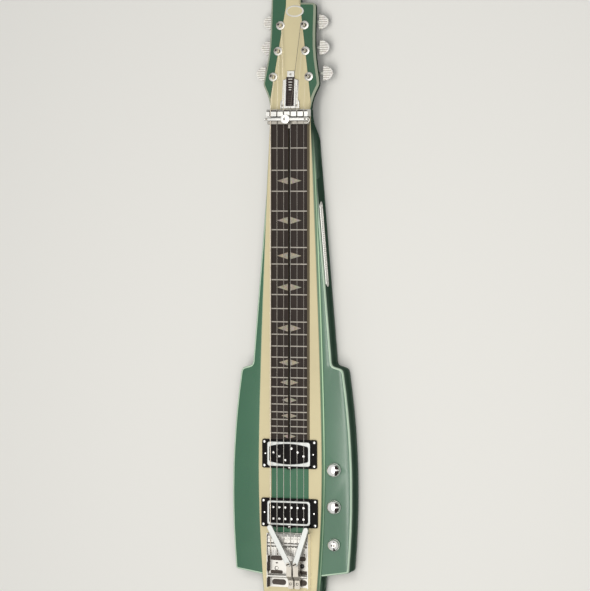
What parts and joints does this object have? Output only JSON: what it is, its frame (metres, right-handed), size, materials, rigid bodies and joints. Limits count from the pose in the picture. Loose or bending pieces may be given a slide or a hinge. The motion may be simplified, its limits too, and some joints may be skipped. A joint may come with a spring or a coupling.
{
  "type": "lap steel guitar",
  "caption": "Solid lap steel guitar with a raised centre beam, sliding capo, two palm levers and a tilted headstock",
  "frame": {"origin": "On the flat back under the centre line, level with the line of the string saddles", "axes": "+Z points from the flat back to the strings, +Y along the centre line from the saddles to the headstock, +X to the side of the control knobs"},
  "size_m": [0.194, 0.9483, 0.0754],
  "materials": {
    "green_lacquer": "glossy metallic green lacquer",
    "cream_lacquer": "satin cream lacquer",
    "rosewood": "oiled dark wood",
    "chrome": "polished chrome",
    "steel": "plain steel",
    "dark_metal": "dark anodised",
    "brass": "plain brass",
    "black_plastic": "matt black",
    "pearl": "pearl white"
  },
  "bodies": {
    "body": {"neck_beam": "green_lacquer", "left_wing": "green_lacquer", "right_wing": "green_lacquer", "cream_top": "cream_lacquer", "control_cover": "black_plastic", "fingerboard": "rosewood", "capo_rail": "dark_metal", "nut": "chrome", "truss_rod_cover": "chrome", "side_plate": "chrome", "tuner_housing_1": "chrome", "tuner_housing_2": "chrome", "tuner_housing_3": "chrome", "tuner_housing_4": "chrome", "tuner_housing_5": "chrome", "tuner_housing_6": "chrome", "string_1": "steel", "string_2": "steel", "string_3": "steel", "string_4": "steel", "string_5": "steel", "string_6": "steel", "neck_pickup_ring": "black_plastic", "neck_pickup_frame": "chrome", "neck_pickup_bobbin": "black_plastic", "bridge_pickup_ring": "black_plastic", "bridge_pickup_frame": "chrome", "bridge_pickup_bobbin": "black_plastic", "tailpiece_frame": "chrome", "saddle_1": "chrome", "saddle_2": "chrome", "saddle_3": "chrome", "saddle_4": "chrome", "saddle_5": "chrome", "saddle_6": "chrome", "lever_shaft": "steel", "control_harness": "dark_metal", "output_jack": "brass"},
    "tuner_shaft_1": {"tuner_button_1": "pearl"},
    "tuner_shaft_2": {"tuner_button_2": "pearl"},
    "tuner_shaft_3": {"tuner_button_3": "pearl"},
    "tuner_shaft_4": {"tuner_button_4": "pearl"},
    "tuner_shaft_5": {"tuner_button_5": "pearl"},
    "tuner_shaft_6": {"tuner_button_6": "pearl"},
    "post_1": {"string_post_1": "chrome"},
    "post_2": {"string_post_2": "chrome"},
    "post_3": {"string_post_3": "chrome"},
    "post_4": {"string_post_4": "chrome"},
    "post_5": {"string_post_5": "chrome"},
    "post_6": {"string_post_6": "chrome"},
    "capo": {"capo_carriage": "chrome"},
    "capo_top": {"capo_bar": "chrome"},
    "capo_nut": {"capo_knob": "chrome"},
    "left_lever": {"left_bender_lever": "chrome"},
    "right_lever": {"right_bender_lever": "chrome"},
    "left_arm": {"left_palm_arm": "chrome"},
    "right_arm": {"right_palm_arm": "chrome"},
    "volume": {"volume_knob": "chrome"},
    "tone": {"tone_knob": "chrome"},
    "selector": {"selector_knob": "chrome"}
  },
  "joints": [
    {"name": "button_turn_1", "type": "hinge", "parent": "body", "child": "tuner_shaft_1", "pos_m": [-0.02881, 0.72754, 0.02337], "axis": [-1, 0, 0], "continuous": true},
    {"name": "button_turn_2", "type": "hinge", "parent": "body", "child": "tuner_shaft_2", "pos_m": [-0.02209, 0.76755, 0.01952], "axis": [-1, 0, 0], "continuous": true},
    {"name": "button_turn_3", "type": "hinge", "parent": "body", "child": "tuner_shaft_3", "pos_m": [-0.01949, 0.80756, 0.01567], "axis": [-1, 0, 0], "continuous": true},
    {"name": "button_turn_4", "type": "hinge", "parent": "body", "child": "tuner_shaft_4", "pos_m": [0.01949, 0.80756, 0.01567], "axis": [1, 0, 0], "continuous": true},
    {"name": "button_turn_5", "type": "hinge", "parent": "body", "child": "tuner_shaft_5", "pos_m": [0.02209, 0.76755, 0.01952], "axis": [1, 0, 0], "continuous": true},
    {"name": "button_turn_6", "type": "hinge", "parent": "body", "child": "tuner_shaft_6", "pos_m": [0.02881, 0.72754, 0.02337], "axis": [1, 0, 0], "continuous": true},
    {"name": "post_turn_1", "type": "hinge", "parent": "body", "child": "post_1", "pos_m": [-0.02881, 0.72181, 0.04211], "axis": [0, 0.0958, 0.9954], "continuous": true},
    {"name": "post_turn_2", "type": "hinge", "parent": "body", "child": "post_2", "pos_m": [-0.02209, 0.76182, 0.03826], "axis": [0, 0.0958, 0.9954], "continuous": true},
    {"name": "post_turn_3", "type": "hinge", "parent": "body", "child": "post_3", "pos_m": [-0.01949, 0.80183, 0.0344], "axis": [0, 0.0958, 0.9954], "continuous": true},
    {"name": "post_turn_4", "type": "hinge", "parent": "body", "child": "post_4", "pos_m": [0.01949, 0.80183, 0.0344], "axis": [0, 0.0958, 0.9954], "continuous": true},
    {"name": "post_turn_5", "type": "hinge", "parent": "body", "child": "post_5", "pos_m": [0.02209, 0.76182, 0.03826], "axis": [0, 0.0958, 0.9954], "continuous": true},
    {"name": "post_turn_6", "type": "hinge", "parent": "body", "child": "post_6", "pos_m": [0.02881, 0.72181, 0.04211], "axis": [0, 0.0958, 0.9954], "continuous": true},
    {"name": "capo_slide", "type": "slide", "parent": "body", "child": "capo", "axis": [0, -1, 0], "range_m": [0, 0.46]},
    {"name": "capo_screw", "type": "hinge", "parent": "capo_top", "child": "capo_nut", "pos_m": [0, 0.6556, 0.0693], "axis": [0, 0, 1], "range_deg": [0, 720]},
    {"name": "capo_clamp", "type": "slide", "parent": "capo", "child": "capo_top", "axis": [0, 0, -1], "range_m": [0, 0.0015]},
    {"name": "left_lever_press", "type": "hinge", "parent": "body", "child": "left_lever", "pos_m": [0.0054, -0.049, 0.056], "axis": [-1, 0, 0], "range_deg": [0, 4.5], "stiffness_Nm_per_rad": 1.5},
    {"name": "right_lever_press", "type": "hinge", "parent": "body", "child": "right_lever", "pos_m": [0.0162, -0.049, 0.056], "axis": [-1, 0, 0], "range_deg": [0, 4.5], "stiffness_Nm_per_rad": 1.5},
    {"name": "left_arm_swivel", "type": "hinge", "parent": "left_lever", "child": "left_arm", "pos_m": [0.0054, -0.0279, 0.072], "axis": [0, 0, 1], "range_deg": [-10, 6]},
    {"name": "right_arm_swivel", "type": "hinge", "parent": "right_lever", "child": "right_arm", "pos_m": [0.0162, -0.0279, 0.072], "axis": [0, 0, 1], "range_deg": [-6, 10]},
    {"name": "volume_turn", "type": "hinge", "parent": "body", "child": "volume", "pos_m": [0.069, 0.1158, 0.0398], "axis": [0, 0, 1], "range_deg": [-145, 145]},
    {"name": "tone_turn", "type": "hinge", "parent": "body", "child": "tone", "pos_m": [0.069, 0.0587, 0.0398], "axis": [0, 0, 1], "range_deg": [-145, 145]},
    {"name": "selector_turn", "type": "hinge", "parent": "body", "child": "selector", "pos_m": [0.069, 0.0006, 0.0398], "axis": [0, 0, 1], "range_deg": [-35, 35]}
  ],
  "couplings": [
    {"joint": "post_turn_1", "follows": "button_turn_1", "ratio": -0.066667},
    {"joint": "post_turn_2", "follows": "button_turn_2", "ratio": -0.066667},
    {"joint": "post_turn_3", "follows": "button_turn_3", "ratio": -0.066667},
    {"joint": "post_turn_4", "follows": "button_turn_4", "ratio": 0.066667},
    {"joint": "post_turn_5", "follows": "button_turn_5", "ratio": 0.066667},
    {"joint": "post_turn_6", "follows": "button_turn_6", "ratio": 0.066667},
    {"joint": "capo_screw", "follows": "capo_clamp", "rad_per_m": 8377.6}
  ]
}
